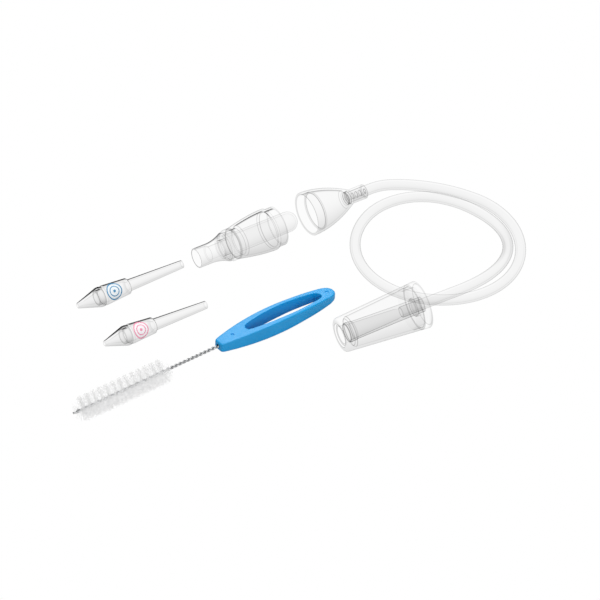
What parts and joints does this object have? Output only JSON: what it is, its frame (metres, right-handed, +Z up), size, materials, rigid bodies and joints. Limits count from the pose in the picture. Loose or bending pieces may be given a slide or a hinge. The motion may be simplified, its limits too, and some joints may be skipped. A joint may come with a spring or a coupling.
{
  "type": "nasal aspirator kit",
  "caption": "Mouth-operated nasal aspirator laid out apart: nasal tips, trap collector, rear cup on a looped hose, tapered mouthpiece, and a cleaning brush with a slotted handle.",
  "frame": {"origin": "centre of the kit's bounding box on the table plane it lies on", "axes": "+X along the shared axis of the fitted tip, the collector and the cup, towards the hose; +Z up from the table"},
  "size_m": [0.2678, 0.1148, 0.0246],
  "materials": {
    "clear_plastic": "clear, polished",
    "milky_silicone": "translucent, satin",
    "clear_silicone": "translucent, glossy",
    "handle_blue": "moulded, satin",
    "steel_wire": "drawn wire",
    "nylon": "fine bristles"
  },
  "bodies": {
    "hose": {"hose": "milky_silicone"},
    "connector": {"hose_connector": "clear_plastic"},
    "cup": {"rear_cup": "clear_plastic"},
    "collector": {"collector_shell": "clear_plastic"},
    "inlet": {"nozzle": "clear_plastic", "seal_ring": "clear_silicone", "trap_tube": "clear_plastic"},
    "tip": {"tip_nose_blue": "clear_silicone", "tip_stem_blue": "clear_plastic"},
    "mouth_base": {"mouthpiece_base": "clear_plastic", "mouthpiece_airway": "clear_plastic"},
    "mouth_shell": {"mouthpiece_shell": "clear_plastic"},
    "spare_tip": {"tip_nose_pink": "clear_silicone", "tip_stem_pink": "clear_plastic"},
    "brush": {"brush_handle": "handle_blue", "brush_wire": "steel_wire", "brush_bristles": "nylon"}
  },
  "joints": [
    {"name": "connector_pull", "type": "slide", "parent": "hose", "child": "connector", "axis": [-1, 0, 0], "range_m": [0, 0.01]},
    {"name": "cup_swivel", "type": "hinge", "parent": "connector", "child": "cup", "pos_m": [0.05865, 0.0459, 0.0115], "axis": [1, 0, 0], "continuous": true},
    {"name": "collector_insert", "type": "slide", "parent": "cup", "child": "collector", "axis": [1, 0, 0], "range_m": [0, 0.0218]},
    {"name": "inlet_pull", "type": "slide", "parent": "collector", "child": "inlet", "axis": [-1, 0, 0], "range_m": [0, 0.04]},
    {"name": "tip_insert", "type": "slide", "parent": "inlet", "child": "tip", "axis": [1, 0, 0], "range_m": [0, 0.0472]},
    {"name": "mouthpiece_pull", "type": "slide", "parent": "hose", "child": "mouth_base", "axis": [-0.9918, 0.1042, -0.0745], "range_m": [0, 0.014]},
    {"name": "mouth_shell_unclip", "type": "slide", "parent": "mouth_base", "child": "mouth_shell", "axis": [-0.9918, 0.1042, -0.0745], "range_m": [0, 0.045]},
    {"name": "spare_tip_lift", "type": "slide", "parent": "hose", "child": "spare_tip", "axis": [0, 0, 1], "range_m": [0, 0.06]},
    {"name": "brush_lift", "type": "slide", "parent": "hose", "child": "brush", "axis": [0, 0, 1], "range_m": [0, 0.08]}
  ]
}
